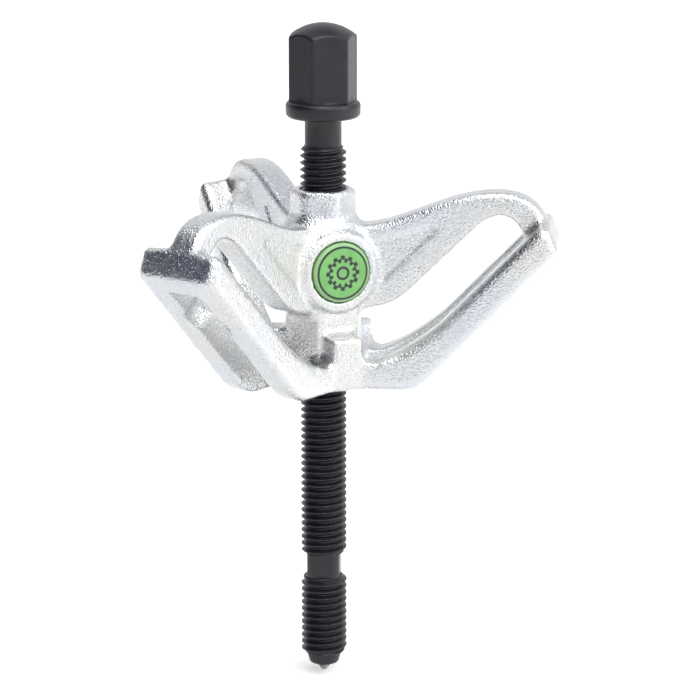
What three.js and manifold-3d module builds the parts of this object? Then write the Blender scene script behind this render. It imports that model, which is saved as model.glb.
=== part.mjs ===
// Three-arm gear puller: a one-piece forged body with three slotted arms, a round badge,
// a threaded spindle with a domed hexagon head, and a hardened pressure point in its tip.
// Millimetres, +Z up. The origin is on the spindle axis, in the flat end of the pressure
// point. Heights in this file are counted from the body's flat underside, and the whole
// puller is raised into place at the end.
// The arms point at 0, 120 and 240 degrees and the badge faces 300 degrees.

import * as THREE from 'three';
import { mergeVertices } from 'three/addons/utils/BufferGeometryUtils.js';
import Module from 'manifold-3d';

const wasm = await Module();
wasm.setup();

// ---------- driving dimensions ----------

const ARM_AZIMUTHS = [0, 120, 240];
const GAP_AZIMUTHS = [60, 180, 300];
const BADGE_AZIMUTH = 300;

// Hub: a hexagonal column with a smaller hexagonal collar on top.
const COLUMN_ACROSS_FLATS = 15.6;
const COLUMN_TOP = 35.2;
const COLLAR_ACROSS_FLATS = 13;
const COLLAR_RADIUS = 7.1;
const COLLAR_TOP = 42;
const COLLAR_CHAMFER = 0.8;
const SHOULDER_RADIUS = 8.9;
const SHOULDER_TOP_RADIUS = 7.6;

// Web: the upright rib that carries each arm, 7 mm thick.
const WEB_THICKNESS = 7;
const WEB_EDGE_ROUND = 1.1;
const POCKET_DEPTH = 0.4;

// Frame: the sloping pair of rails with its cross-bar at the top.
const RAIL_HALF_WIDTH = 10;
const BAR_CORNER_RADIUS = 2.6;
const SLOT_WIDTH = 8.3;
const RELIEF_RADIUS = 5.3;
const FRAME_FOOT = { r: 24.4, z: 3.4 };
const FRAME_TIP = { r: 50.45, z: 30.12 };
const FRAME_TIP_TOP = { r: 48, z: 36.3 };
const FRAME_HEEL_TOP = { r: 25.7, z: 14.7 };
const RAIL_TOP_END = { r: 46.3, z: 35.9 };
const RELIEF_FROM_TIP = 15.7;
const SLOT_END_FROM_TIP = 4.9;
const SLOT_ROUND_FROM_TIP = 2.65;

// Blocks that tie neighbouring frames together between the arms.
const BLOCK_REACH = 13.6;
const BLOCK_TOP = 11.7;
const BLOCK_HALF_WIDTH = 3.4;
const BLOCK_FLARE = 2.6;
const RAIL_TOP_AT_BLOCK = 5.9;

// Badge and its boss.
const BOSS_RADIUS = 8.8;
const BOSS_FACE = 9.8;
const BOSS_HEIGHT = 25.3;
const BADGE_RADIUS = 6.4;
const BADGE_GAP = 0.15;
const BADGE_SEAT_DEPTH = 1.3;
const BADGE_THICKNESS = 1.5;
const BADGE_EDGE_ROUND = 0.5;

// Screw thread, M10 x 1.5 right hand.
const PITCH = 1.5;
const CREST_RADIUS = 4.92;
const ROOT_RADIUS = 4.06;
const THREAD_SEGMENTS = 12;
const THREAD_PHASE_DEGREES = 0;
const FEMALE_CREST_RADIUS = 4.56;
const FEMALE_ROOT_RADIUS = 5.25;
const BORE_MOUTH_RADIUS = 5.45;
const BORE_MOUTH_DEPTH = 1;

// Spindle, from the tip up. The rest position stands the collar above the hub.
const POINT_TIP = -65.9;
const POINT_TIP_RADIUS = 0.5;
const POINT_BASE = -64.55;
const POINT_RADIUS = 1.62;
const POINT_SHANK_RADIUS = 1.1;
const POINT_SHANK_TOP = -60.2;
const POINT_GAP = 0.3;
const NOSE_TOP = -62;
const NOSE_RADIUS = 3.66;
const NOSE_CONE_TOP = -63.8;
const NOSE_CONE_RADIUS = 3.15;
const FLATS_BOTTOM = -44;
const FLATS_TOP = -38.8;
const FLATS_ACROSS = 7;
const FLATS_RADIUS = 4.15;
const FLATS_TURN_DEGREES = 1.3;
const MAIN_THREAD_TOP = 50.7;
const NECK_RADIUS = 3.92;
const COLLAR_BOTTOM = 57;
const HEAD_COLLAR_RADIUS = 7.95;
const HEAD_COLLAR_TOP = 60.6;
const HEAD_ACROSS_FLATS = 13;
const HEAD_TOP = 77;
const HEAD_SHOULDER = 74;
const HEAD_TURN_DEGREES = 20.5;

const ROUND_SEGMENTS = 36;
const SQRT3 = Math.sqrt(3);

// ---------- colours ----------

const ZINC = { color: 0xc9cccf, roughness: 0.3, metalness: 1 };
const BLACK_OXIDE = { color: 0x1b1a20, roughness: 0.42, metalness: 0.7 };
const BRIGHT_STEEL = { color: 0xb9babc, roughness: 0.3, metalness: 1 };
const GREEN_ENAMEL = { color: 0x4fa84a, roughness: 0.35, metalness: 0 };

// ---------- helpers ----------

const radians = (degrees) => degrees * Math.PI / 180;

// A closed geometry becomes an exact solid for joining and cutting.
function solidFrom(geometry, matrix = new THREE.Matrix4()) {
  const bare = geometry.clone().applyMatrix4(matrix);
  bare.deleteAttribute('normal');
  bare.deleteAttribute('uv');
  const merged = mergeVertices(bare, 1e-4);
  const vertProperties = new Float32Array(merged.attributes.position.array);
  const triVerts = new Uint32Array(merged.index.array);
  return new wasm.Manifold(new wasm.Mesh({ numProp: 3, vertProperties, triVerts }));
}

function meshFrom(solid, name, finish) {
  const result = solid.getMesh();
  const geometry = new THREE.BufferGeometry();
  geometry.setAttribute('position', new THREE.BufferAttribute(result.vertProperties, 3));
  geometry.setIndex(new THREE.BufferAttribute(result.triVerts, 1));
  geometry.computeVertexNormals();
  const mesh = new THREE.Mesh(geometry, new THREE.MeshStandardMaterial(finish));
  mesh.name = name;
  return mesh;
}

function joined(solids) {
  return solids.reduce((whole, next) => whole.add(next));
}

// Turns a solid about the spindle axis.
function turned(solid, degrees) {
  return solid.rotate([0, 0, degrees]);
}

// A flat outline drawn in (radius, height), extruded sideways about the arm's middle plane.
function sideExtrusion(shape, width, bevel = 0) {
  const geometry = new THREE.ExtrudeGeometry(shape, {
    depth: width - 2 * bevel,
    curveSegments: 8,
    bevelEnabled: bevel > 0,
    bevelThickness: bevel,
    bevelSize: bevel,
    bevelOffset: -bevel,
    bevelSegments: 2,
  });
  const upright = new THREE.Matrix4().makeRotationX(Math.PI / 2);
  const centred = new THREE.Matrix4().makeTranslation(0, width / 2 - bevel, 0);
  return solidFrom(geometry, centred.multiply(upright));
}

// A plan outline in (x, y), extruded upward from one height to another.
function upwardExtrusion(shape, bottom, top) {
  const geometry = new THREE.ExtrudeGeometry(shape, {
    depth: top - bottom,
    curveSegments: 8,
    bevelEnabled: false,
  });
  return solidFrom(geometry, new THREE.Matrix4().makeTranslation(0, 0, bottom));
}

function outline(points) {
  return new THREE.Shape(points.map(([x, y]) => new THREE.Vector2(x, y)));
}

// A regular hexagon whose first corner points at startDegrees.
function hexagon(acrossFlats, startDegrees) {
  const radius = acrossFlats / SQRT3;
  const corners = [];
  for (let side = 0; side < 6; side += 1) {
    const angle = radians(startDegrees + 60 * side);
    corners.push([radius * Math.cos(angle), radius * Math.sin(angle)]);
  }
  return outline(corners);
}

function box(xRange, yRange, zRange) {
  const size = [xRange, yRange, zRange].map(([low, high]) => high - low);
  const middle = [xRange, yRange, zRange].map(([low, high]) => (high + low) / 2);
  const matrix = new THREE.Matrix4().makeTranslation(...middle);
  return solidFrom(new THREE.BoxGeometry(...size), matrix);
}

// A solid of revolution about Z from a closed profile in (radius, height).
function revolved(profile, segments = ROUND_SEGMENTS) {
  const points = profile.map(([radius, height]) => new THREE.Vector2(radius, height));
  const geometry = new THREE.LatheGeometry(points, segments);
  return solidFrom(geometry, new THREE.Matrix4().makeRotationX(Math.PI / 2));
}

// ---------- screw thread ----------

// A rod with a V thread cut along one right-hand helix. Vertices run along the helix in
// pairs, crest then root, and each turn is stitched to the next.
function threadedRod(bottom, top, crestRadius, rootRadius, phaseDegrees) {
  const start = Math.floor(bottom / PITCH) - 1;
  const turns = Math.ceil(top / PITCH) + 1 - start;
  const steps = turns * THREAD_SEGMENTS;
  const positions = [];
  for (let step = 0; step <= steps; step += 1) {
    const turn = step / THREAD_SEGMENTS;
    const angle = 2 * Math.PI * turn + radians(phaseDegrees);
    const height = PITCH * (start + turn);
    const along = [Math.cos(angle), Math.sin(angle)];
    positions.push(crestRadius * along[0], crestRadius * along[1], height);
    positions.push(rootRadius * along[0], rootRadius * along[1], height + PITCH / 2);
  }
  const indices = [];
  const crest = (step) => 2 * step;
  const root = (step) => 2 * step + 1;
  for (let step = 0; step < steps; step += 1) {
    indices.push(crest(step), crest(step + 1), root(step + 1));
    indices.push(crest(step), root(step + 1), root(step));
  }
  for (let step = 0; step < steps - THREAD_SEGMENTS; step += 1) {
    const above = step + THREAD_SEGMENTS;
    indices.push(root(step), root(step + 1), crest(above + 1));
    indices.push(root(step), crest(above + 1), crest(above));
  }
  closeThreadEnds(positions, indices, steps, crest, root);
  const geometry = new THREE.BufferGeometry();
  geometry.setAttribute('position', new THREE.Float32BufferAttribute(positions, 3));
  geometry.setIndex(indices);
  return solidFrom(geometry);
}

// Both ends are closed by a fan to a point on the axis. The fan follows the first or last
// turn and then the short step between its two ends.
function closeThreadEnds(positions, indices, steps, crest, root) {
  const addAxisPoint = (height) => {
    positions.push(0, 0, height);
    return positions.length / 3 - 1;
  };
  const lowest = positions[2];
  const low = addAxisPoint(lowest + PITCH / 2);
  for (let step = 0; step < THREAD_SEGMENTS; step += 1) {
    indices.push(low, crest(step + 1), crest(step));
  }
  indices.push(low, crest(0), root(0));
  indices.push(low, root(0), crest(THREAD_SEGMENTS));
  const highest = positions[3 * root(steps) + 2];
  const high = addAxisPoint(highest - PITCH / 2);
  const first = steps - THREAD_SEGMENTS;
  for (let step = first; step < steps; step += 1) {
    indices.push(high, root(step), root(step + 1));
  }
  indices.push(high, root(steps), crest(steps));
  indices.push(high, crest(steps), root(first));
}

// ---------- body ----------

const slope = Math.atan2(FRAME_TIP.z - FRAME_FOOT.z, FRAME_TIP.r - FRAME_FOOT.r);

// A point on the frame's outer face, at a distance down the slope from its tip.
function frameOuterPoint(fromTip) {
  return [FRAME_TIP.r - fromTip * Math.cos(slope), FRAME_TIP.z - fromTip * Math.sin(slope)];
}

function hub() {
  const column = upwardExtrusion(hexagon(COLUMN_ACROSS_FLATS, 30), 0, COLUMN_TOP);
  const collar = upwardExtrusion(hexagon(COLLAR_ACROSS_FLATS, 0), COLUMN_TOP - 3, COLLAR_TOP);
  const rounding = revolved([
    [0, 0],
    [COLLAR_RADIUS, 0],
    [COLLAR_RADIUS, COLLAR_TOP - COLLAR_CHAMFER],
    [COLLAR_RADIUS - COLLAR_CHAMFER, COLLAR_TOP],
    [0, COLLAR_TOP],
  ]);
  const shoulder = revolved([
    [0, COLUMN_TOP - 8],
    [SHOULDER_RADIUS, COLUMN_TOP - 8],
    [SHOULDER_RADIUS, COLUMN_TOP - 2.2],
    [SHOULDER_TOP_RADIUS, COLUMN_TOP + 0.4],
    [0, COLUMN_TOP + 0.4],
  ]);
  const columnBelow = column.intersect(box([-20, 20], [-20, 20], [-1, COLUMN_TOP - 2]));
  return joined([columnBelow, shoulder, collar.intersect(rounding)]);
}

// The web's outline: along the top from the hub over the hump and down to the cross-bar,
// and back inside the frame, where the opening is cut later.
function webOutline() {
  const shape = new THREE.Shape();
  shape.moveTo(0, 34.4);
  shape.lineTo(8.6, 34.4);
  shape.bezierCurveTo(16.6, 35.2, 22.3, 39.2, 30.2, 41.1);
  shape.bezierCurveTo(34.8, 42.3, 39.4, 42.4, 42.6, 41.1);
  shape.bezierCurveTo(46.2, 39.5, 48, 36.4, 49.4, 31.6);
  shape.lineTo(FRAME_TIP.r - 1.2, FRAME_TIP.z - 0.6);
  shape.lineTo(20, 14);
  shape.lineTo(0, 14);
  return shape;
}

// Everything between the web's lower edge and the frame, continued out through the slot:
// the column face, the web's lower edge, the arch at the top and the slot's end wall.
function openingOutline() {
  const shape = new THREE.Shape();
  const [endR, endZ] = frameOuterPoint(SLOT_END_FROM_TIP);
  shape.moveTo(COLUMN_ACROSS_FLATS / 2, -3);
  shape.lineTo(COLUMN_ACROSS_FLATS / 2, 14.6);
  shape.quadraticCurveTo(7.9, 16.3, 10, 16.6);
  shape.bezierCurveTo(13.6, 17.1, 16.4, 18.3, 19, 21);
  shape.lineTo(32.3, 34.1);
  shape.bezierCurveTo(35.2, 37.2, 38.6, 38.2, 41, 35.9);
  shape.bezierCurveTo(42.8, 34, 43.8, 29.8, endR, endZ);
  const [roundR, roundZ] = frameOuterPoint(SLOT_ROUND_FROM_TIP);
  shape.lineTo(roundR + 0.9, roundZ - 0.6);
  shape.lineTo(roundR + 6, roundZ - 6);
  shape.lineTo(30, -3);
  return shape;
}

// Side view of the frame: rails and cross-bar, with a rounded heel under the hub.
function frameOutline() {
  const shape = new THREE.Shape();
  shape.moveTo(0, 0);
  shape.lineTo(18.2, 0);
  shape.quadraticCurveTo(21.6, 0.6, FRAME_FOOT.r, FRAME_FOOT.z);
  shape.lineTo(FRAME_TIP.r - 0.6, FRAME_TIP.z - 0.6);
  shape.quadraticCurveTo(FRAME_TIP.r, FRAME_TIP.z, FRAME_TIP.r - 0.2, FRAME_TIP.z + 0.9);
  shape.lineTo(FRAME_TIP_TOP.r + 0.4, FRAME_TIP_TOP.z - 1);
  shape.quadraticCurveTo(FRAME_TIP_TOP.r, FRAME_TIP_TOP.z, RAIL_TOP_END.r, RAIL_TOP_END.z);
  shape.lineTo(FRAME_HEEL_TOP.r, FRAME_HEEL_TOP.z);
  shape.bezierCurveTo(22.2, 11.7, 17, 7.9, 12, RAIL_TOP_AT_BLOCK);
  shape.lineTo(0, RAIL_TOP_AT_BLOCK);
  return shape;
}

// Plan of the frame, seen from above: parallel rails with rounded corners at the cross-bar.
function framePlan() {
  const tip = FRAME_TIP.r + 0.2;
  const half = RAIL_HALF_WIDTH;
  const shape = new THREE.Shape();
  shape.moveTo(0, -half);
  shape.lineTo(tip - BAR_CORNER_RADIUS, -half);
  shape.quadraticCurveTo(tip, -half, tip, -half + BAR_CORNER_RADIUS);
  shape.lineTo(tip, half - BAR_CORNER_RADIUS);
  shape.quadraticCurveTo(tip, half, tip - BAR_CORNER_RADIUS, half);
  shape.lineTo(0, half);
  return shape;
}

// A shallow triangular pocket, pressed into each side of the web.
function webPocket(side) {
  const shape = new THREE.Shape();
  shape.moveTo(6, 31.2);
  shape.lineTo(11.1, 31.4);
  shape.lineTo(23.3, 34.9);
  shape.quadraticCurveTo(25.6, 35.2, 24.3, 33.2);
  shape.lineTo(11.5, 20.6);
  shape.lineTo(6, 19.6);
  const pocket = sideExtrusion(shape, 2 * POCKET_DEPTH);
  return pocket.translate([0, side * WEB_THICKNESS / 2, 0]);
}

// The round relief that widens the slot near its outer end, square to the frame's face.
function slotRelief() {
  const [r, z] = frameOuterPoint(RELIEF_FROM_TIP);
  const cylinder = new THREE.CylinderGeometry(RELIEF_RADIUS, RELIEF_RADIUS, 11, 24);
  const matrix = new THREE.Matrix4().makeTranslation(r, 0, z);
  const squareToFace = new THREE.Matrix4().makeRotationY(-(Math.PI / 2 + slope));
  matrix.multiply(squareToFace);
  matrix.multiply(new THREE.Matrix4().makeRotationZ(Math.PI / 2));
  return solidFrom(cylinder, matrix);
}

function arm() {
  const frame = sideExtrusion(frameOutline(), 2 * RAIL_HALF_WIDTH)
    .intersect(upwardExtrusion(framePlan(), -1, 50));
  const web = sideExtrusion(webOutline(), WEB_THICKNESS, WEB_EDGE_ROUND);
  const opening = sideExtrusion(openingOutline(), SLOT_WIDTH);
  return web
    .subtract(webPocket(1))
    .subtract(webPocket(-1))
    .add(frame)
    .subtract(opening)
    .subtract(slotRelief());
}

// The tie block between two arms, drawn square to its own gap direction, with a flared
// foot on each side where it runs down into the rails.
function tieBlock() {
  const top = BLOCK_HALF_WIDTH;
  const foot = BLOCK_HALF_WIDTH + BLOCK_FLARE;
  const shape = new THREE.Shape();
  shape.moveTo(-foot, 0);
  shape.lineTo(foot, 0);
  shape.lineTo(foot, RAIL_TOP_AT_BLOCK);
  shape.quadraticCurveTo(top + 0.2, RAIL_TOP_AT_BLOCK, top, RAIL_TOP_AT_BLOCK + BLOCK_FLARE);
  shape.lineTo(top, BLOCK_TOP);
  shape.lineTo(-top, BLOCK_TOP);
  shape.lineTo(-top, RAIL_TOP_AT_BLOCK + BLOCK_FLARE);
  shape.quadraticCurveTo(-top - 0.2, RAIL_TOP_AT_BLOCK, -foot, RAIL_TOP_AT_BLOCK);
  const geometry = new THREE.ExtrudeGeometry(shape, {
    depth: BLOCK_REACH,
    curveSegments: 5,
    bevelEnabled: false,
  });
  const outward = new THREE.Matrix4().makeBasis(
    new THREE.Vector3(0, 1, 0),
    new THREE.Vector3(0, 0, 1),
    new THREE.Vector3(1, 0, 0),
  );
  return solidFrom(geometry, outward);
}

// A profile in (radius, height) revolved about a level axis that points outward at the
// badge's height.
function revolvedTowardBadge(profile) {
  const solid = revolved(profile);
  return turned(solid.rotate([0, 90, 0]).translate([0, 0, BOSS_HEIGHT]), BADGE_AZIMUTH);
}

function badgeBoss() {
  return revolvedTowardBadge([
    [0, 1],
    [BOSS_RADIUS, 1],
    [BOSS_RADIUS, BOSS_FACE - 1.1],
    [BOSS_RADIUS - 0.35, BOSS_FACE - 0.35],
    [BOSS_RADIUS - 1.1, BOSS_FACE],
    [0, BOSS_FACE],
  ]);
}

function badgeSeat() {
  const radius = BADGE_RADIUS + BADGE_GAP;
  const floor = BOSS_FACE - BADGE_SEAT_DEPTH;
  return revolvedTowardBadge([[0, floor], [radius, floor], [radius, BOSS_FACE + 2], [0, BOSS_FACE + 2]]);
}

function threadedBore() {
  const thread = threadedRod(-2, COLLAR_TOP + 2, FEMALE_ROOT_RADIUS, FEMALE_CREST_RADIUS,
    THREAD_PHASE_DEGREES);
  const innerRadius = FEMALE_CREST_RADIUS - 0.3;
  const upper = revolved([
    [0, COLLAR_TOP - BORE_MOUTH_DEPTH],
    [innerRadius, COLLAR_TOP - BORE_MOUTH_DEPTH],
    [BORE_MOUTH_RADIUS, COLLAR_TOP],
    [BORE_MOUTH_RADIUS, COLLAR_TOP + 2],
    [0, COLLAR_TOP + 2],
  ]);
  const lower = revolved([
    [0, -2],
    [BORE_MOUTH_RADIUS, -2],
    [BORE_MOUTH_RADIUS, 0],
    [innerRadius, BORE_MOUTH_DEPTH],
    [0, BORE_MOUTH_DEPTH],
  ]);
  return joined([thread, upper, lower]);
}

function body() {
  const arms = joined(ARM_AZIMUTHS.map((azimuth) => turned(arm(), azimuth)));
  const blocks = joined(GAP_AZIMUTHS.map((azimuth) => turned(tieBlock(), azimuth)));
  const solid = joined([arms, blocks, hub(), badgeBoss()])
    .subtract(badgeSeat())
    .subtract(threadedBore());
  return meshFrom(solid, 'puller_body', ZINC);
}

// ---------- badge ----------

function badge() {
  const back = BOSS_FACE - BADGE_SEAT_DEPTH + 0.3;
  const front = back + BADGE_THICKNESS;
  const solid = revolvedTowardBadge([
    [0, back],
    [BADGE_RADIUS, back],
    [BADGE_RADIUS, front - BADGE_EDGE_ROUND],
    [BADGE_RADIUS - BADGE_EDGE_ROUND, front],
    [0, front + 0.12],
  ]);
  return meshFrom(solid, 'badge', GREEN_ENAMEL);
}

// ---------- spindle ----------

// The envelope that turns the threaded rod down to its true ends, undercut and neck.
function shankEnvelope() {
  const over = CREST_RADIUS + 0.3;
  const lead = 1;
  return revolved([
    [0, POINT_BASE],
    [POINT_RADIUS, POINT_BASE],
    [NOSE_CONE_RADIUS, NOSE_CONE_TOP],
    [NOSE_RADIUS, NOSE_TOP],
    [over, NOSE_TOP + 1.4],
    [over, FLATS_BOTTOM - lead],
    [FLATS_RADIUS, FLATS_BOTTOM],
    [FLATS_RADIUS, FLATS_TOP],
    [over, FLATS_TOP + lead],
    [over, MAIN_THREAD_TOP - lead],
    [NECK_RADIUS, MAIN_THREAD_TOP + 0.4],
    [NECK_RADIUS, COLLAR_BOTTOM + 1],
    [0, COLLAR_BOTTOM + 1],
  ]);
}

// The undercut between the two threads, with four flats milled round it.
function undercutWithFlats() {
  const bottom = FLATS_BOTTOM - 0.1;
  const top = FLATS_TOP + 0.1;
  const half = FLATS_ACROSS / 2;
  const round = revolved([[0, bottom], [FLATS_RADIUS, bottom], [FLATS_RADIUS, top], [0, top]]);
  const square = box([-half, half], [-half, half], [bottom, top]);
  return turned(round.intersect(square), FLATS_TURN_DEGREES);
}

function headCollar() {
  const round = 0.9;
  return revolved([
    [0, COLLAR_BOTTOM],
    [HEAD_COLLAR_RADIUS - 2.6, COLLAR_BOTTOM],
    [HEAD_COLLAR_RADIUS - round, COLLAR_BOTTOM + 0.5],
    [HEAD_COLLAR_RADIUS, COLLAR_BOTTOM + 1.3],
    [HEAD_COLLAR_RADIUS, HEAD_COLLAR_TOP - round],
    [HEAD_COLLAR_RADIUS - 0.3, HEAD_COLLAR_TOP - 0.3],
    [HEAD_COLLAR_RADIUS - round, HEAD_COLLAR_TOP],
    [0, HEAD_COLLAR_TOP],
  ]);
}

// Domed hexagon: a hexagonal prism cut by a sphere that leaves the corners at the shoulder.
function headHexagon() {
  const corner = HEAD_ACROSS_FLATS / SQRT3;
  const rise = HEAD_TOP - HEAD_SHOULDER;
  const sphereRadius = (corner * corner + rise * rise) / (2 * rise);
  const prism = upwardExtrusion(hexagon(HEAD_ACROSS_FLATS, 0), HEAD_COLLAR_TOP - 0.5, HEAD_TOP + 1);
  const dome = solidFrom(
    new THREE.SphereGeometry(sphereRadius, 36, 40),
    new THREE.Matrix4().makeTranslation(0, 0, HEAD_TOP - sphereRadius)
      .multiply(new THREE.Matrix4().makeRotationX(Math.PI / 2)),
  );
  const bottom = HEAD_COLLAR_TOP - 2;
  const top = HEAD_SHOULDER - 1;
  const column = revolved([[0, bottom], [corner + 1, bottom], [corner + 1, top], [0, top]]);
  return turned(prism.intersect(dome.add(column)), HEAD_TURN_DEGREES);
}

function spindle() {
  const rod = threadedRod(NOSE_TOP - 4, COLLAR_BOTTOM + 3, CREST_RADIUS, ROOT_RADIUS,
    THREAD_PHASE_DEGREES);
  const pointHole = revolved([
    [0, POINT_BASE - 1],
    [POINT_SHANK_RADIUS + POINT_GAP, POINT_BASE - 1],
    [POINT_SHANK_RADIUS + POINT_GAP, POINT_SHANK_TOP + POINT_GAP],
    [0, POINT_SHANK_TOP + POINT_GAP],
  ], 18);
  const gap = box([-8, 8], [-8, 8], [FLATS_BOTTOM, FLATS_TOP]);
  const shank = rod.intersect(shankEnvelope()).subtract(gap);
  const solid = joined([shank, undercutWithFlats(), headCollar(), headHexagon()])
    .subtract(pointHole);
  return meshFrom(solid, 'spindle', BLACK_OXIDE);
}

// ---------- pressure point ----------

function pressurePoint() {
  const base = POINT_BASE - POINT_GAP;
  const coneRadius = POINT_RADIUS * (base - POINT_TIP) / (POINT_BASE - POINT_TIP);
  const solid = revolved([
    [0, POINT_TIP],
    [POINT_TIP_RADIUS, POINT_TIP],
    [coneRadius, base],
    [POINT_SHANK_RADIUS, base],
    [POINT_SHANK_RADIUS, POINT_SHANK_TOP],
    [0, POINT_SHANK_TOP],
  ], 24);
  return meshFrom(solid, 'pressure_point', BRIGHT_STEEL);
}

// ---------- assembly ----------

const puller = new THREE.Group();
puller.add(body());
puller.add(badge());
puller.add(spindle());
puller.add(pressurePoint());
puller.position.z = -POINT_TIP;

export default puller;
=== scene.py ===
"""Looks of a three-arm gear puller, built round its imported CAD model.

Lengths named in this file are millimetres, and heights are counted from the flat
underside of the puller's body, until build() places them in the row frame in metres.
"""

import math

import bmesh
import bpy
import numpy as np
import openvdb as vdb
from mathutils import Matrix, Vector

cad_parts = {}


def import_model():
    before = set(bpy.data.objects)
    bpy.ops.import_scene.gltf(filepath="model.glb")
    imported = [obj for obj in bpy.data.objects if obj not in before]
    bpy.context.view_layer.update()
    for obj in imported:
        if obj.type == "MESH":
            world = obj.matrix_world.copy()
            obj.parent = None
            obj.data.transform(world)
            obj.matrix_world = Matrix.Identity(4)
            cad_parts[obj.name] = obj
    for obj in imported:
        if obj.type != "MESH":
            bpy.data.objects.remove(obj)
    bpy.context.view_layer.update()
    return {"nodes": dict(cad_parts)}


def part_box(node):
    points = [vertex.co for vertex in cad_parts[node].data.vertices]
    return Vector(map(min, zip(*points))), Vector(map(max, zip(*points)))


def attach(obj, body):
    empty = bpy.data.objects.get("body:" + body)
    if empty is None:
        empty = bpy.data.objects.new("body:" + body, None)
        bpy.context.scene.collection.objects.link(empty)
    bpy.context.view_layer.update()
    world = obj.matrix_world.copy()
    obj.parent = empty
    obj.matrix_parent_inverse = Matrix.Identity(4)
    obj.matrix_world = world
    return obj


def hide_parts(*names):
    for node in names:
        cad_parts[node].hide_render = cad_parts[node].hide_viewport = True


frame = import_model()

MM = 0.001
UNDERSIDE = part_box("puller_body")[0].z / MM
TAU = 2 * math.pi

# ---------- dimensions shared with the CAD part ----------

ARM_AZIMUTHS = (0, 120, 240)
BADGE_AZIMUTH = 300
BOSS_HEIGHT = 25.3
BADGE_SEAT_FLOOR = 8.5
BADGE_SEAT_RADIUS = 6.48
BADGE_RADIUS = 6.4
BADGE_FRONT = 10.3
COLLAR_TOP = 42.0

FRAME_FOOT = (24.4, 3.4)
FRAME_TIP = (50.45, 30.12)
RELIEF_FROM_TIP = 15.7
RELIEF_RADIUS = 5.3
SLOT_START = 6.5
SLOT_END = 48.2

PITCH = 1.5
CREST_RADIUS = 4.92
ROOT_RADIUS = 4.06
BORE_CREST_RADIUS = 4.56
BORE_ROOT_RADIUS = 5.25
BORE_MOUTH_RADIUS = 5.45

POINT_TIP = -65.9
POINT_BASE = -64.55
POINT_RADIUS = 1.62
POINT_SHANK_RADIUS = 1.1
POINT_SHANK_TOP = -60.2
POINT_GAP = 0.3
NOSE_TOP = -62.0
NOSE_RADIUS = 3.66
NOSE_CONE_TOP = -63.8
NOSE_CONE_RADIUS = 3.15
FLATS_BOTTOM = -44.0
FLATS_TOP = -38.8
FLATS_ACROSS = 7.0
FLATS_RADIUS = 4.15
FLATS_TURN = 1.3
MAIN_THREAD_TOP = 50.7
NECK_RADIUS = 3.92
HEAD_COLLAR_BOTTOM = 57.0
HEAD_COLLAR_TOP = 60.6
HEAD_COLLAR_RADIUS = 7.95
COLLAR_EDGE = 1.15
HEAD_ACROSS_FLATS = 13.0
HEAD_SHOULDER = 74.0
HEAD_TOP = 77.0
HEAD_TURN = 20.5

# ---------- mesh resolution ----------

VOXEL = 0.42
COLUMNS = 120
FILLET = 1.0
EDGE_ROUND = 0.42
FRAME_EDGE_ROUND = 1.7


# ---------- form of the forging ----------

RAIL_START = 14
RAIL_BLEND = 3
RAIL_DEPTH = 10
RAIL_REACH = 6.5
SLOT_BLEND = 1.5
EDGE_DEPTH = 3.0
EDGE_BLEND = 2.5
WEB_RADII = (13, 27)
WEB_HEIGHTS = (20, 36.2)
WEB_FACES = (2.6, 4.4)
RELIEF_DEPTH = 5.5
BORE_PLUG_RADIUS = 5.9

# ---------- form of the spindle's head and the badge ----------

FLARE_INSET = 1.15
FLARE_HEIGHT = 1.5
FLARE_LIFT = 0.02
HEAD_EDGE = 0.12
BADGE_BACK_GAP = 0.3
BADGE_CROWN = 0.12
BADGE_RIM = 0.9
BADGE_RING = (5.28, 5.74)
# radii over which the painted sheen on the badge's rounded rim fades in
BADGE_RIM_SHEEN_BAND = (5.75, 5.95)
WHEEL_BAND = (2.6, 3.5)
WHEEL_HUB_BAND = (0.95, 1.5)
WHEEL_TEETH = 12.0
TOOTH_HEIGHT = 0.32
PRINT_EDGE = 0.04

# ---------- studio settings, azimuths counted from the camera, metres and watts ----------

CAMERA_AZIMUTH = 6.25
CAMERA_ELEVATION = 13.55
CAMERA_DISTANCE = 0.650
CAMERA_LENS = 155.5
SENSOR_WIDTH = 36.0
AIM_ACROSS = 5.68
AIM_HEIGHT = 6.4
FLOOR_HALF = 1.6
FLOOR_BELOW = 0.0004
FLOOR_SEEN_LIFT = 0.3
FLOOR_GLARE = 0.35
GLARE_AZIMUTH = 147
GLARE_REACH = (5.0, 60.0)
# azimuth, elevation, cosine where it fades in, cosine where it is full, colour
WALL = (0.93, 0.94, 0.95)
ZONES = (
    (0, 2, 0.75, 0.98, (0.45, 0.47, 0.52)),
    (12, 42, 0.86, 0.94, (2.4, 2.4, 2.4)),
    (170, 72, 0.90, 0.97, (0.30, 0.32, 0.36)),
    (-25, 76, 0.92, 0.97, (3.2, 3.2, 3.2)),
    (-80, 24, 0.5, 0.9, (0.08, 0.09, 0.12)),
)
# name, azimuth, elevation, distance, width, height, power, colour
LIGHTS = (
    ("key_right", 72, 30, 0.9, 0.5, 0.7, 2.2, (1, 0.99, 0.97)),
    ("fill_top", -10, 75, 1.0, 0.9, 0.6, 1.2, (0.97, 0.98, 1)),
)


# ---------- small helpers ----------


def direction(azimuth, elevation):
    """Unit vector from the object; azimuth 0 is towards -Y and 90 towards +X."""
    a, e = math.radians(azimuth), math.radians(elevation)
    return Vector((math.sin(a) * math.cos(e), -math.cos(a) * math.cos(e), math.sin(e)))


def frame_rise():
    """Angle of the frames' outer faces above the horizontal."""
    return math.atan2(FRAME_TIP[1] - FRAME_FOOT[1], FRAME_TIP[0] - FRAME_FOOT[0])


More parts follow.
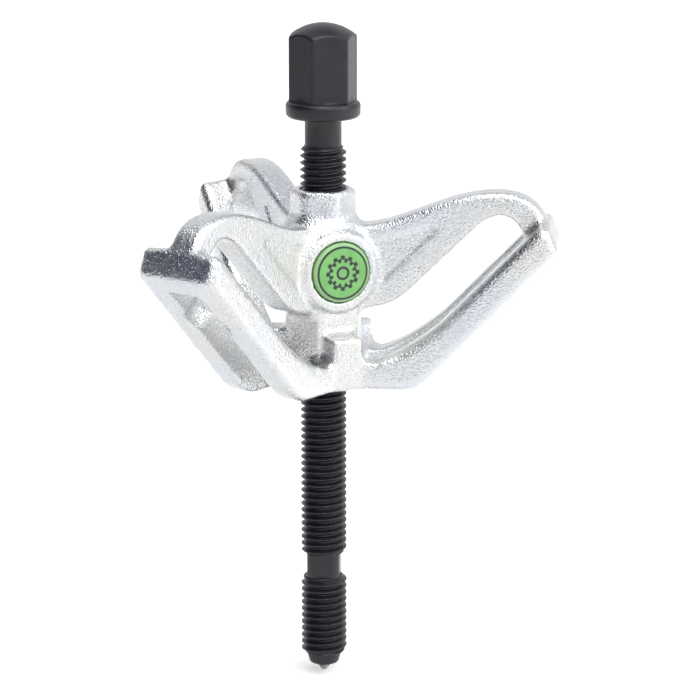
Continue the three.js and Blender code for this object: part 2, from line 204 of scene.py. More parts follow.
def build(name, points, faces, body, replaced, sharp_degrees):
    """Makes one piece from millimetre points and hands it to the frame."""
    placed = (np.asarray(points, float) + (0, 0, UNDERSIDE)) * MM
    mesh = bpy.data.meshes.new(name)
    mesh.from_pydata(placed.tolist(), [], [list(map(int, f)) for f in faces])
    mesh.validate()
    mesh.update()
    mesh.set_sharp_from_angle(angle=math.radians(sharp_degrees))
    piece = bpy.data.objects.new(name, mesh)
    bpy.context.scene.collection.objects.link(piece)
    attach(piece, body)
    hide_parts(replaced)
    return piece


# ---------- forged body, as a distance field ----------


def level_set(points, triangles, quads, reach):
    return vdb.FloatGrid.createLevelSetFromPolygons(
        points.astype(np.float32),
        triangles=triangles,
        quads=quads,
        transform=vdb.createLinearTransform(voxelSize=VOXEL),
        halfWidth=reach / VOXEL + 2,
    )


def offset(surface, distance):
    """The surface moved out by a distance, or in where it is negative."""
    grid = level_set(*surface, abs(distance))
    return grid.convertToPolygons(isovalue=distance, adaptivity=0)


def filled_cad_body():
    """The CAD body as points and triangles; body_polygons() fills its bore, so that
    rounding leaves the bore alone.
    """
    mesh = frame["nodes"]["puller_body"].data
    points = np.array([v.co for v in mesh.vertices], float) / MM
    points[:, 2] -= UNDERSIDE
    mesh.calc_loop_triangles()
    triangles = np.array([t.vertices for t in mesh.loop_triangles], np.uint32)
    no_quads = np.zeros((0, 4), np.uint32)
    return points, triangles, no_quads


def dense(grid, low, shape):
    values = np.zeros(shape, np.float32)
    grid.copyToArray(values, ijk=tuple(int(v) for v in low))
    return values


def polygons_of(values, low):
    grid = vdb.FloatGrid(float(values.max()))
    grid.copyFromArray(values.astype(np.float32), ijk=tuple(int(v) for v in low))
    grid.transform = vdb.createLinearTransform(voxelSize=VOXEL)
    return grid.convertToPolygons(isovalue=0, adaptivity=0)


def field_coordinates(low, shape):
    axes = [(np.arange(n) + start) * VOXEL for start, n in zip(low, shape)]
    return np.meshgrid(*axes, indexing="ij")


def cylinder_field(along, across_squared, radius, start):
    """Distance to a cylinder that begins at start and runs on without end."""
    return np.maximum(np.sqrt(across_squared) - radius, start - along)


def thread_radius(x, y, z, crest, root):
    """Radius of a V thread surface; the crest stands at multiples of the pitch."""
    turn = z / PITCH - np.arctan2(y, x) / TAU
    away = np.abs(turn - np.round(turn)) * 2
    return crest + (root - crest) * away


def arm_coordinates(x, y, azimuth):
    """Distance out along an arm, and sideways from its middle plane."""
    a = math.radians(azimuth)
    radial = x * math.cos(a) + y * math.sin(a)
    side = y * math.cos(a) - x * math.sin(a)
    return radial, side


def depth_in_frame(x, y, z, azimuth):
    """Depth below one frame's sloping outer face."""
    radial, _ = arm_coordinates(x, y, azimuth)
    rise = frame_rise()
    across = (FRAME_TIP[0] - radial) * math.sin(rise)
    return across - (FRAME_TIP[1] - z) * math.cos(rise)


def frame_share(x, y, z):
    """One along the edges of the frames, falling to nothing at the slots and the webs."""
    low = z
    rails = np.zeros(x.shape)
    clear_of_slots = np.ones(x.shape)
    for azimuth in ARM_AZIMUTHS:
        depth = depth_in_frame(x, y, z, azimuth)
        low = np.minimum(low, depth)
        radial, side = arm_coordinates(x, y, azimuth)
        beyond = np.maximum(SLOT_START - radial, radial - SLOT_END)
        outside = np.abs(side) - RELIEF_RADIUS
        clear_of_slots *= np.clip(np.maximum(outside, beyond) / SLOT_BLEND, 0, 1)
        on_rail = np.clip((radial - RAIL_START) / RAIL_BLEND, 0, 1)
        on_rail = on_rail * (depth < RAIL_DEPTH) * (outside < RAIL_REACH)
        rails = np.maximum(rails, on_rail * np.clip(outside / SLOT_BLEND, 0, 1))
    near_edge = 1 - np.clip((low - EDGE_DEPTH) / EDGE_BLEND, 0, 1)
    return np.maximum(rails, clear_of_slots * near_edge)


def web_side(x, y, z):
    """Where the flat sides of the three webs are, clear of the hub and of the edges."""
    near = np.zeros(x.shape, bool)
    for azimuth in ARM_AZIMUTHS:
        radial, side = arm_coordinates(x, y, azimuth)
        inside = (radial > WEB_RADII[0]) & (radial < WEB_RADII[1])
        inside &= (z > WEB_HEIGHTS[0]) & (z < WEB_HEIGHTS[1])
        near |= inside & (np.abs(side) > WEB_FACES[0]) & (np.abs(side) < WEB_FACES[1])
    return near


def slot_relief_field(x, y, z, azimuth):
    """The round relief that is machined square to one frame's outer face."""
    radial, side = arm_coordinates(x, y, azimuth)
    rise = frame_rise()
    centre_r = FRAME_TIP[0] - RELIEF_FROM_TIP * math.cos(rise)
    centre_z = FRAME_TIP[1] - RELIEF_FROM_TIP * math.sin(rise)
    down_slope = (radial - centre_r) * math.cos(rise) + (z - centre_z) * math.sin(rise)
    depth = (radial - centre_r) * math.sin(rise) - (z - centre_z) * math.cos(rise)
    round_part = np.sqrt(down_slope**2 + side**2) - RELIEF_RADIUS
    return np.maximum(round_part, np.abs(depth) - RELIEF_DEPTH)


def badge_coordinates(x, y, z):
    """Distance along the badge's axis, and squared distance from it."""
    a = math.radians(BADGE_AZIMUTH)
    along = x * math.cos(a) + y * math.sin(a)
    side = y * math.cos(a) - x * math.sin(a)
    return along, side**2 + (z - BOSS_HEIGHT) ** 2


def body_polygons():
    surface = filled_cad_body()
    points, triangles, quads = surface
    bore_fill = level_set(points, triangles, quads, 4 * VOXEL)
    low = np.floor(points.min(0) / VOXEL) - 8
    high = np.ceil(points.max(0) / VOXEL) + 8
    shape = (high - low).astype(int)
    x, y, z = field_coordinates(low, shape)
    radius = np.sqrt(x**2 + y**2)

    plug = np.maximum(radius - BORE_PLUG_RADIUS, np.maximum(-z, z - COLLAR_TOP))
    sharp = np.minimum(dense(bore_fill, low, shape), plug)
    grown = offset(polygons_of(sharp, low), FILLET)

    def opened(radius):
        shrunk = offset(grown, -(FILLET + radius))
        return dense(level_set(*shrunk, radius + 3 * VOXEL), low, shape) - radius

    share = frame_share(x, y, z)
    values = share * opened(FRAME_EDGE_ROUND) + (1 - share) * opened(EDGE_ROUND)
    values = np.where(web_side(x, y, z), np.maximum(values, sharp), values)

    badge_along, badge_across = badge_coordinates(x, y, z)
    seat = cylinder_field(badge_along, badge_across, BADGE_SEAT_RADIUS, BADGE_SEAT_FLOOR)
    values = np.maximum(values, -seat)
    for azimuth in ARM_AZIMUTHS:
        values = np.maximum(values, -slot_relief_field(x, y, z, azimuth))
    bore = thread_radius(x, y, z, BORE_ROOT_RADIUS, BORE_CREST_RADIUS)
    mouth = np.maximum(z - COLLAR_TOP, -z) + BORE_MOUTH_RADIUS
    values = np.maximum(values, np.maximum(bore, mouth) - radius)
    values = np.maximum(values, -z)
    points, triangles, quads = polygons_of(values, low)
    return points, list(triangles[:, ::-1]) + list(quads[:, ::-1])


def forged_body():
    points, faces = body_polygons()
    return build("forged_body", points, faces, "frame", "puller_body", 40)


# ---------- spindle ----------

THREAD_ROWS = (
    (-0.095, CREST_RADIUS),
    (0.095, CREST_RADIUS),
    (0.345, (CREST_RADIUS + ROOT_RADIUS) / 2),
    (0.592, ROOT_RADIUS + 0.02),
    (0.75, ROOT_RADIUS - 0.03),
    (0.908, ROOT_RADIUS + 0.02),
    (1.155, (CREST_RADIUS + ROOT_RADIUS) / 2),
)
STEP = 0.02
OVER = CREST_RADIUS + 0.3
ENVELOPE = (
    (NOSE_TOP, NOSE_RADIUS),
    (NOSE_TOP + 1.4, OVER),
    (FLATS_BOTTOM - 1, OVER),
    (FLATS_BOTTOM, FLATS_RADIUS),
    (FLATS_TOP, FLATS_RADIUS),
    (FLATS_TOP + 1, OVER),
    (MAIN_THREAD_TOP - 1, OVER),
    (MAIN_THREAD_TOP + 0.4, NECK_RADIUS),
    (MAIN_THREAD_TOP + 1.6, NECK_RADIUS),
)


def helical_thread(bottom, top):
    """A screw surface whose rows follow the helix, so that its crests are clean lines."""
    per_turn = len(THREAD_ROWS)
    first = math.floor(bottom / PITCH) - 2
    turns = math.ceil(top / PITCH) + 2 - first
    rows = turns * per_turn
    start = math.radians(FLATS_TURN)
    points = []
    for column in range(COLUMNS):
        angle = start + TAU * column / COLUMNS
        lift = PITCH * (first + angle / TAU)
        for row in range(rows):
            turn, place = divmod(row, per_turn)
            height, radius = THREAD_ROWS[place]
            points.append(
                (
                    radius * math.cos(angle),
                    radius * math.sin(angle),
                    lift + turn * PITCH + height,
                )
            )
    faces = []
    for column in range(COLUMNS):
        here = column * rows
        wraps = column == COLUMNS - 1
        there = 0 if wraps else here + rows
        jump = per_turn if wraps else 0
        for row in range(rows - 1 - jump):
            faces.append(
                (
                    here + row,
                    there + row + jump,
                    there + row + jump + 1,
                    here + row + 1,
                )
            )
    return points, faces


def cut_level(bm, height, **clear):
    bmesh.ops.bisect_plane(
        bm,
        geom=bm.verts[:] + bm.edges[:] + bm.faces[:],
        dist=1e-5,
        plane_co=(0, 0, height),
        plane_no=(0, 0, 1),
        **clear,
    )


def square_radius(angle):
    quarter = math.pi / 2
    local = (angle - math.radians(FLATS_TURN) + quarter / 2) % quarter - quarter / 2
    return min(FLATS_RADIUS, FLATS_ACROSS / 2 / math.cos(local))


def turned_radius(x, y, z):
    """The shank's radius at a point of the thread surface, once it is turned and milled."""
    radius = math.hypot(x, y)
    if FLATS_BOTTOM + STEP / 2 < z < FLATS_TOP - STEP / 2:
        return square_radius(math.atan2(y, x))
    heights = [height for height, _ in ENVELOPE]
    radii = [limit for _, limit in ENVELOPE]
    return min(radius, float(np.interp(z, heights, radii)))


def ring(bm, radius_at, height_at, angles):
    return [
        bm.verts.new(
            (
                radius_at(a) * math.cos(a),
                radius_at(a) * math.sin(a),
                height_at(a),
            )
        )
        for a in angles
    ]


def join_rings(bm, lower, upper):
    count = len(lower)
    for i in range(count):
        j = (i + 1) % count
        bm.faces.new((lower[i], lower[j], upper[j], upper[i]))


def constant(value):
    return lambda angle: value


def hexagon_radius(angle):
    sixth = math.pi / 3
    local = (angle - math.radians(HEAD_TURN) + sixth) % sixth - sixth / 2
    corner = HEAD_ACROSS_FLATS / math.sqrt(3)
    return min(HEAD_ACROSS_FLATS / 2 / math.cos(local), corner - 0.1)


def head_rows():
    """Rows of the head, from the neck up: pairs of radius and height functions."""
    corner = HEAD_ACROSS_FLATS / math.sqrt(3)
    rise = HEAD_TOP - HEAD_SHOULDER
    sphere = (corner * corner + rise * rise) / (2 * rise)
    centre = HEAD_TOP - sphere
    rows = [(constant(NECK_RADIUS), constant(MAIN_THREAD_TOP + 2))]
    rows.append((constant(NECK_RADIUS), constant(HEAD_COLLAR_BOTTOM - 0.5)))
    rows.append((constant(NECK_RADIUS + 0.12), constant(HEAD_COLLAR_BOTTOM - 0.15)))
    rows.append((constant(NECK_RADIUS + 0.5), constant(HEAD_COLLAR_BOTTOM)))
    rows.append((constant(HEAD_COLLAR_RADIUS - 1.9), constant(HEAD_COLLAR_BOTTOM)))
    for degrees in range(-75, 91, 15):
        tilt = math.radians(degrees)
        radius = HEAD_COLLAR_RADIUS - COLLAR_EDGE + COLLAR_EDGE * math.cos(tilt)
        if degrees < 0:
            base = HEAD_COLLAR_BOTTOM + COLLAR_EDGE
        else:
            base = HEAD_COLLAR_TOP - COLLAR_EDGE
        rows.append((constant(radius), constant(base + COLLAR_EDGE * math.sin(tilt))))
    flare_radius = HEAD_COLLAR_RADIUS - FLARE_INSET

    def flare(share):
        def radius(angle):
            wide = max(flare_radius, hexagon_radius(angle) + 0.04)
            gap = wide - hexagon_radius(angle)
            return hexagon_radius(angle) + gap * (1 - math.sqrt(1 - (1 - share) ** 2))

        return radius

    for share in (0.0, 0.03, 0.1, 0.2, 0.35, 0.55, 0.8, 1.0):
        height = HEAD_COLLAR_TOP + FLARE_LIFT + FLARE_HEIGHT * share
        rows.append((flare(share), constant(height)))

    def crossing(angle):
        return centre + math.sqrt(sphere**2 - hexagon_radius(angle) ** 2)

    for share in (0.25, 0.5, 0.75, 0.97):
        base = HEAD_COLLAR_TOP + FLARE_LIFT + FLARE_HEIGHT

        def height(angle, share=share, base=base):
            return base + (crossing(angle) - base) * share

        rows.append((hexagon_radius, height))
    rows.append((hexagon_radius, lambda a: crossing(a) - HEAD_EDGE))
    for share in (0.985, 0.94, 0.85, 0.72, 0.58, 0.44, 0.3, 0.18, 0.08):

        def radius(angle, share=share):
            return hexagon_radius(angle) * share

        def height(angle, share=share):
            return centre + math.sqrt(sphere**2 - (hexagon_radius(angle) * share) ** 2)

        rows.append((radius, height))
    return rows


def boundary_near(bm, height):
    edges = [e for e in bm.edges if e.is_boundary]
    return [e for e in edges if abs(e.verts[0].co.z - height) < STEP]


def close_head(bm):
    angles = [math.radians(HEAD_TURN) + TAU * i / COLUMNS for i in range(COLUMNS)]
    previous, first = None, None
    for radius_at, height_at in head_rows():
        current = ring(bm, radius_at, height_at, angles)
        if previous:
            join_rings(bm, previous, current)
        else:
            first = current
        previous = current
    top = bm.verts.new((0, 0, HEAD_TOP))
    for i in range(COLUMNS):
        bm.faces.new((previous[i], previous[(i + 1) % COLUMNS], top))
    return first


def close_nose(bm):
    angles = [math.radians(FLATS_TURN) + TAU * i / COLUMNS for i in range(COLUMNS)]
    hole = POINT_SHANK_RADIUS + POINT_GAP
    hole_top = POINT_SHANK_TOP + POINT_GAP
    profile = (
        (0.25, hole_top),
        (hole, hole_top),
        (hole, POINT_BASE),
        (POINT_RADIUS, POINT_BASE),
        (NOSE_CONE_RADIUS - 0.08, NOSE_CONE_TOP - 0.08),
        (NOSE_CONE_RADIUS + 0.06, NOSE_CONE_TOP + 0.12),
        (NOSE_RADIUS, NOSE_TOP - 0.05),
    )
    previous = None
    for radius, height in profile:
        current = ring(bm, constant(radius), constant(height), angles)
        if previous:
            join_rings(bm, previous, current)
        else:
            middle = bm.verts.new((0, 0, height))
            for i in range(COLUMNS):
                bm.faces.new((middle, current[i], current[(i + 1) % COLUMNS]))
        previous = current
    return previous


def bridge(bm, height_a, height_b):
    loops = boundary_near(bm, height_a) + boundary_near(bm, height_b)
    bmesh.ops.bridge_loops(bm, edges=loops)


def spindle_polygons():
    points, faces = helical_thread(NOSE_TOP, MAIN_THREAD_TOP + 2)
    bm = bmesh.new()
    verts = [bm.verts.new(p) for p in points]
    for face in faces:
        bm.faces.new([verts[i] for i in face])
    bottom, top = NOSE_TOP, MAIN_THREAD_TOP + 1.6
    cut_level(bm, bottom, clear_inner=True)
    cut_level(bm, top, clear_outer=True)
    for height, _ in ENVELOPE[1:-1]:
        cut_level(bm, height)
    cut_level(bm, FLATS_BOTTOM + STEP)
    cut_level(bm, FLATS_TOP - STEP)
    for vert in bm.verts:
        x, y, z = vert.co
        scale = turned_radius(x, y, z) / math.hypot(x, y)
        vert.co = (x * scale, y * scale, z)
    close_head(bm)
    bridge(bm, top, MAIN_THREAD_TOP + 2)
    close_nose(bm)
    bridge(bm, bottom, NOSE_TOP - 0.05)
    bmesh.ops.remove_doubles(bm, verts=bm.verts[:], dist=1e-4)
    bmesh.ops.recalc_face_normals(bm, faces=bm.faces[:])
    bm.verts.index_update()
    points = [tuple(v.co) for v in bm.verts]
    faces = [[v.index for v in f.verts] for f in bm.faces]
    bm.free()
    return points, faces


def threaded_spindle():
    points, faces = spindle_polygons()
    return build(
        "threaded_spindle", points, faces, "screw", "spindle", 32
    )


# ---------- turned pieces ----------


def lathe(profile, columns):
    """Points and faces of a profile of (radius, height), both ends on the axis."""
    points = [(0, 0, profile[0][1])]
    for radius, height in profile[1:-1]:
        for i in range(columns):
            a = TAU * i / columns
            points.append((radius * math.cos(a), radius * math.sin(a), height))
    points.append((0, 0, profile[-1][1]))
    rows = len(profile) - 2
    last = len(points) - 1
    faces = []
    for i in range(columns):
        j = (i + 1) % columns
        faces.append((0, 1 + j, 1 + i))
        faces.append((last, 1 + (rows - 1) * columns + i, 1 + (rows - 1) * columns + j))
        for row in range(rows - 1):
            low = 1 + row * columns
            high = low + columns
            faces.append((low + i, low + j, high + j, high + i))
    return points, faces


def hardened_point():
    base = POINT_BASE - POINT_GAP
    radius = POINT_RADIUS * (base - POINT_TIP) / (POINT_BASE - POINT_TIP)
    profile = (
        (0, POINT_TIP),
        (0.38, POINT_TIP + 0.01),
        (0.52, POINT_TIP + 0.09),
        (0.62, POINT_TIP + 0.2),
        (radius - 0.05, base - 0.06),
        (radius, base),
        (POINT_SHANK_RADIUS, base),
        (POINT_SHANK_RADIUS, POINT_SHANK_TOP + 0.2),
        (POINT_SHANK_RADIUS - 0.2, POINT_SHANK_TOP),
        (0, POINT_SHANK_TOP),
    )
    points, faces = lathe(profile, 64)
    return build(
        "hardened_point", points, faces, "point", "pressure_point", 30
    )


def enamel_badge():
    """A domed enamel disc. Its axis is turned to point outward from the boss."""
    back = BADGE_SEAT_FLOOR + BADGE_BACK_GAP
    profile = [(0, back), (BADGE_RADIUS - 0.1, back), (BADGE_RADIUS, back + 0.1)]
    profile += [
        (BADGE_RADIUS, BADGE_FRONT - 0.75),
        (BADGE_RADIUS - 0.06, BADGE_FRONT - 0.5),
        (BADGE_RADIUS - 0.22, BADGE_FRONT - 0.28),
        (BADGE_RADIUS - 0.5, BADGE_FRONT - 0.1),
        (BADGE_RADIUS - BADGE_RIM, BADGE_FRONT),
    ]
    edge = BADGE_RADIUS - BADGE_RIM
    for share in (0.9, 0.75, 0.6, 0.45, 0.3, 0.15, 0.05):
        profile.append((edge * share, BADGE_FRONT + BADGE_CROWN * (1 - share**2)))
    profile.append((0, BADGE_FRONT + BADGE_CROWN))
    points, faces = lathe(profile, 96)
    points = np.array(points)
    a = math.radians(BADGE_AZIMUTH)
    out = np.array((math.cos(a), math.sin(a), 0))
    side = np.array((-math.sin(a), math.cos(a), 0))
    up = np.array((0, 0, 1))
    placed = points[:, 2:3] * out + points[:, 0:1] * side + points[:, 1:2] * up
    placed[:, 2] += BOSS_HEIGHT
    return build("enamel_badge", placed, faces, "frame", "badge", 50)


# ---------- materials ----------


class Nodes:
    """A short way to write a material's node tree."""

    def __init__(self, tree):
        self.tree = tree
        tree.nodes.clear()

    def add(self, kind, inputs=None, **settings):
        node = self.tree.nodes.new(kind)
        for key, value in settings.items():
            setattr(node, key, value)
        for key, value in (inputs or {}).items():
            self.feed(node, key, value)
        return node

    def feed(self, node, key, value):
        socket = node.inputs[key]
        if isinstance(value, bpy.types.NodeSocket):
            self.tree.links.new(value, socket)
        else:
            socket.default_value = value

    def math(self, operation, a, b=0.0):
        node = self.add("ShaderNodeMath", {0: a, 1: b}, operation=operation)
        return node.outputs[0]

    def place(self):
        """Coordinates in millimetres, fixed to the piece."""
        texture = self.add("ShaderNodeTexCoord")
        scaled = self.add(
            "ShaderNodeVectorMath", {0: texture.outputs["Object"]}, operation="SCALE"
        )
        scaled.inputs["Scale"].default_value = 1 / MM
        return scaled.outputs[0]

    def noise(self, where, size, detail=2.0, roughness=0.5, output="Fac"):
        node = self.add(
            "ShaderNodeTexNoise",
            {
                "Vector": where,
                "Scale": 1 / size,
                "Detail": detail,
                "Roughness": roughness,
            },
        )
        return node.outputs[output]

    def span(self, value, low, high, new_low, new_high):
        node = self.add(
            "ShaderNodeMapRange",
            {0: value, 1: low, 2: high, 3: new_low, 4: new_high},
            interpolation_type="SMOOTHSTEP",
        )
        return node.outputs[0]

    def ramp(self, value, *stops):
        node = self.add("ShaderNodeValToRGB", {0: value})
        elements = node.color_ramp.elements
        while len(elements) < len(stops):
            elements.new(0.5)
        for element, (position, colour) in zip(elements, stops):
            element.position = position
            element.color = (*colour, 1)
        return node.outputs[0]

    def mix(self, share, a, b):
        node = self.add("ShaderNodeMix", {0: share}, data_type="RGBA")
        for socket, value in ((node.inputs[6], a), (node.inputs[7], b)):
            if isinstance(value, bpy.types.NodeSocket):
                self.tree.links.new(value, socket)
            else:
                socket.default_value = (*value, 1)
        return node.outputs[2]

    def bump(self, height, distance, strength=1.0, under=None):
        inputs = {"Height": height, "Distance": distance * MM, "Strength": strength}
        if under is not None:
            inputs["Normal"] = under
        return self.add("ShaderNodeBump", inputs).outputs[0]

    def surface(self, **inputs):
        shader = self.add("ShaderNodeBsdfPrincipled")
        for key, value in inputs.items():
            self.feed(shader, key.replace("_", " "), value)
        self.add("ShaderNodeOutputMaterial", {"Surface": shader.outputs[0]})


def material(name):
    made = bpy.data.materials.new(name)
    made.use_nodes = True
    return made, Nodes(made.node_tree)


def zinc_material():
    """Bright zinc plate over a forged skin: fine pits, a soft waviness, a faint tint."""
    made, n = material("zinc_plate")
    where = n.place()
    grain = n.noise(where, 0.42, 1.0, 0.5)
    pits = n.noise(where, 0.9, 1.0, 0.5)
    waves = n.noise(where, 6.0, 2.0, 0.5)
    tint = n.noise(where, 14.0, 1.0, 0.4)
    colour = n.ramp(
        tint,
        (0.36, (0.73, 0.75, 0.78)),
        (0.5, (0.76, 0.77, 0.77)),
        (0.64, (0.77, 0.76, 0.74)),
    )
    shade = n.span(grain, 0.3, 0.6, 0.25, 0.0)
    colour = n.mix(shade, colour, (0.40, 0.41, 0.44))
    rough = n.span(waves, 0.3, 0.7, 0.2, 0.3)
    soft = n.bump(waves, 0.1, 0.6)
    fine = n.bump(pits, 0.1, 0.8, soft)
    normal = n.bump(grain, 0.2, 1.0, fine)
    n.surface(Base_Color=colour, Metallic=1.0, Roughness=rough, Normal=normal)
    return made


def black_oxide_material():
    """Satin black oxide with turning marks, and bare metal where the crests are worn."""
    made, n = material("black_oxide")
    where = n.place()
    split = n.add("ShaderNodeSeparateXYZ", {0: where})
    lines = n.add("ShaderNodeCombineXYZ", {2: n.math("MULTIPLY", split.outputs[2], 6.0)})
    turning = n.noise(lines.outputs[0], 1.0, 3.0, 0.6)
    speckle = n.noise(where, 0.35, 2.0, 0.6)
    cloud = n.noise(where, 3.0, 2.0, 0.5)
    geometry = n.add("ShaderNodeNewGeometry")
    edge = n.span(geometry.outputs["Pointiness"], 0.53, 0.6, 0.0, 1.0)
    wear = n.math("MULTIPLY", edge, n.span(speckle, 0.45, 0.7, 0.0, 0.35))
    colour = n.ramp(
        cloud, (0.35, (0.004, 0.004, 0.007)), (0.65, (0.009, 0.008, 0.013))
    )
    colour = n.mix(wear, colour, (0.30, 0.30, 0.32))
    rough = n.span(speckle, 0.3, 0.7, 0.3, 0.46)
    rings = n.bump(turning, 0.03, 0.35)
    normal = n.bump(speckle, 0.02, 0.5, rings)
    n.surface(
        Base_Color=colour,
        Metallic=n.math("MULTIPLY", wear, 2.0),
        Roughness=rough,
        Normal=normal,
        Specular_IOR_Level=0.55,
    )
    return made


def bright_steel_material():
    """Ground bare steel with fine rings left by the grinding."""
    made, n = material("ground_steel")
    where = n.place()
    split = n.add("ShaderNodeSeparateXYZ", {0: where})
    lines = n.add("ShaderNodeCombineXYZ", {2: n.math("MULTIPLY", split.outputs[2], 9.0)})
    grinding = n.noise(lines.outputs[0], 1.0, 3.0, 0.7)
    cloud = n.noise(where, 0.6, 2.0, 0.5)
    colour = n.mix(n.span(cloud, 0.3, 0.7, 0, 1), (0.62, 0.62, 0.63), (0.42, 0.42, 0.44))
    rough = n.span(grinding, 0.3, 0.7, 0.22, 0.4)
    n.surface(
        Base_Color=colour,
        Metallic=1.0,
        Roughness=rough,
        Normal=n.bump(grinding, 0.02, 0.5),
    )
    return made


def badge_material():
    """Green enamel under a clear coat, with a printed ring, a plain gear wheel, and a
    painted sheen of paler green on the rounded rim.
    """
    made, n = material("green_enamel")
    where = n.place()
    a = math.radians(BADGE_AZIMUTH)
    centre = Vector((0, 0, BOSS_HEIGHT + UNDERSIDE))
    local = n.add(
        "ShaderNodeVectorMath", {0: where, 1: centre}, operation="SUBTRACT"
    ).outputs[0]
    side = n.add(
        "ShaderNodeVectorMath",
        {0: local, 1: (-math.sin(a), math.cos(a), 0)},
        operation="DOT_PRODUCT",
    ).outputs["Value"]
    up = n.add("ShaderNodeSeparateXYZ", {0: local}).outputs[2]
    radius = n.math(
        "SQRT", n.math("ADD", n.math("MULTIPLY", side, side), n.math("MULTIPLY", up, up))
    )
    angle = n.math("ARCTAN2", side, up)

    def between(value, low, high):
        rise = n.span(value, low - PRINT_EDGE, low + PRINT_EDGE, 0, 1)
        fall = n.span(value, high - PRINT_EDGE, high + PRINT_EDGE, 1, 0)
        return n.math("MULTIPLY", rise, fall)

    ring_mark = between(radius, *BADGE_RING)
    teeth = n.math("COSINE", n.math("MULTIPLY", angle, WHEEL_TEETH))
    lift = n.math("MULTIPLY", n.span(teeth, -0.3, 0.3, -1.0, 1.0), TOOTH_HEIGHT)
    wheel = between(n.math("SUBTRACT", radius, lift), *WHEEL_BAND)
    hub_mark = between(radius, *WHEEL_HUB_BAND)
    mark = n.math("MAXIMUM", ring_mark, n.math("MAXIMUM", wheel, hub_mark))
    cloud = n.noise(where, 2.5, 2.0, 0.5)
    green = n.mix(n.span(cloud, 0.3, 0.7, 0, 1), (0.14, 0.40, 0.10), (0.17, 0.46, 0.13))
    # Painted sheen: paler green on the rounded rim, standing in for the light the rim
    # catches.
    painted_rim_sheen = n.span(radius, *BADGE_RIM_SHEEN_BAND, 0.0, 0.6)
    green = n.mix(painted_rim_sheen, green, (0.34, 0.50, 0.28))
    colour = n.mix(mark, green, (0.008, 0.012, 0.010))
    n.surface(
        Base_Color=colour,
        Roughness=n.span(cloud, 0.3, 0.7, 0.3, 0.4),
        Coat_Weight=0.6,
        Coat_Roughness=0.12,
        Normal=n.bump(n.noise(where, 0.5, 2.0), 0.01, 0.3),
    )
    return made


def floor_material():
    made, n = material("studio_floor")
    where = n.place()
    cloud = n.noise(where, 60.0, 2.0)
    colour = n.mix(n.span(cloud, 0.3, 0.7, 0, 1), (0.90, 0.90, 0.90), (0.93, 0.93, 0.93))
    path = n.add("ShaderNodeLightPath")
    behind = n.add(
        "ShaderNodeVectorMath",
        {0: where, 1: direction(CAMERA_AZIMUTH + GLARE_AZIMUTH, 0)},
        operation="DOT_PRODUCT",
    ).outputs["Value"]
    glare = n.math("MULTIPLY", n.span(behind, *GLARE_REACH, 0.0, 1.0), FLOOR_GLARE)
    seen = n.math("MULTIPLY", path.outputs["Is Camera Ray"], FLOOR_SEEN_LIFT)
    mirrored = n.math("MULTIPLY", path.outputs["Is Glossy Ray"], glare)
    lift = n.math("ADD", seen, mirrored)
    n.surface(
        Base_Color=colour,
        Roughness=0.6,
        Specular_IOR_Level=0.2,
        Emission_Color=(1.0, 1.0, 1.0, 1.0),
        Emission_Strength=lift,
    )
    return made


def dress(piece, finish):
    piece.data.materials.clear()
    piece.data.materials.append(finish)


# ---------- studio ----------

def camera():
    a = math.radians(CAMERA_AZIMUTH)
    target = Vector((AIM_ACROSS * math.cos(a), AIM_ACROSS * math.sin(a), AIM_HEIGHT))
    target = (target + Vector((0, 0, UNDERSIDE))) * MM
    back = direction(CAMERA_AZIMUTH, CAMERA_ELEVATION)
    data = bpy.data.cameras.new("studio_camera")
    data.lens = CAMERA_LENS
    data.sensor_width = SENSOR_WIDTH
    data.clip_start, data.clip_end = 0.05, 20.0
    made = bpy.data.objects.new("studio_camera", data)
    made.location = target + back * CAMERA_DISTANCE
    made.rotation_mode = "QUATERNION"
    made.rotation_quaternion = (-back).to_track_quat("-Z", "Y")
    bpy.context.scene.collection.objects.link(made)
    bpy.context.scene.camera = made


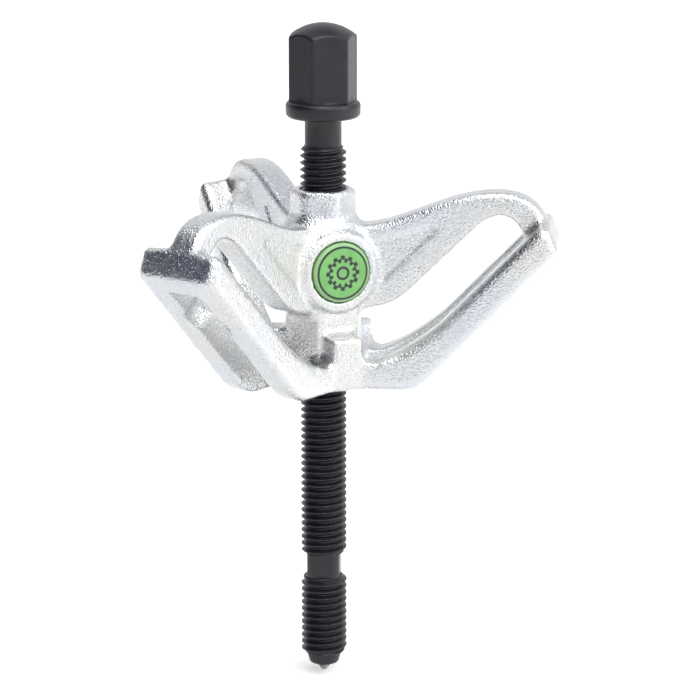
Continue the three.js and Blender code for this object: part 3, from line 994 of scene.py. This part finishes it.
def area_light(name, azimuth, elevation, distance, width, height, power, colour):
    data = bpy.data.lights.new(name, "AREA")
    data.shape = "RECTANGLE"
    data.size, data.size_y = width, height
    data.energy = power
    data.color = colour
    made = bpy.data.objects.new(name, data)
    away = direction(azimuth, elevation)
    made.location = Vector((0, 0, UNDERSIDE * MM)) + away * distance
    made.rotation_mode = "QUATERNION"
    made.rotation_quaternion = (-away).to_track_quat("-Z", "Y")
    bpy.context.scene.collection.objects.link(made)


def world():
    """A white studio: bright all round to the eye, with softer walls to reflect."""
    made = bpy.data.worlds.new("studio")
    made.use_nodes = True
    bpy.context.scene.world = made
    n = Nodes(made.node_tree)
    towards = n.add("ShaderNodeTexCoord").outputs["Generated"]

    wall = WALL
    for azimuth, elevation, starts, full, colour in ZONES:
        facing = n.add(
            "ShaderNodeVectorMath",
            {0: towards, 1: direction(CAMERA_AZIMUTH + azimuth, elevation)},
            operation="DOT_PRODUCT",
        ).outputs["Value"]
        wall = n.mix(n.span(facing, starts, full, 0.0, 1.0), wall, colour)
    path = n.add("ShaderNodeLightPath").outputs["Is Camera Ray"]
    seen = n.mix(path, wall, (1.0, 1.0, 1.0))
    background = n.add("ShaderNodeBackground", {"Color": seen, "Strength": 1.0})
    n.add("ShaderNodeOutputWorld", {"Surface": background.outputs[0]})


def floor():
    half = FLOOR_HALF
    corners = [(-half, -half, -FLOOR_BELOW), (half, -half, -FLOOR_BELOW)]
    corners += [(half, half, -FLOOR_BELOW), (-half, half, -FLOOR_BELOW)]
    mesh = bpy.data.meshes.new("studio_floor")
    mesh.from_pydata(corners, [], [(0, 1, 2, 3)])
    made = bpy.data.objects.new("studio_floor", mesh)
    bpy.context.scene.collection.objects.link(made)
    dress(made, floor_material())


def studio():
    world()
    floor()
    for name, azimuth, elevation, *shape in LIGHTS:
        area_light(name, CAMERA_AZIMUTH + azimuth, elevation, *shape)
    camera()


# ---------- assembly ----------

dress(forged_body(), zinc_material())
dress(threaded_spindle(), black_oxide_material())
dress(hardened_point(), bright_steel_material())
dress(enamel_badge(), badge_material())
for node, finish in (
    ("puller_body", "zinc_plate"),
    ("spindle", "black_oxide"),
    ("pressure_point", "ground_steel"),
    ("badge", "green_enamel"),
):
    dress(frame["nodes"][node], bpy.data.materials[finish])
studio()
bpy.context.scene.view_settings.view_transform = "Standard"
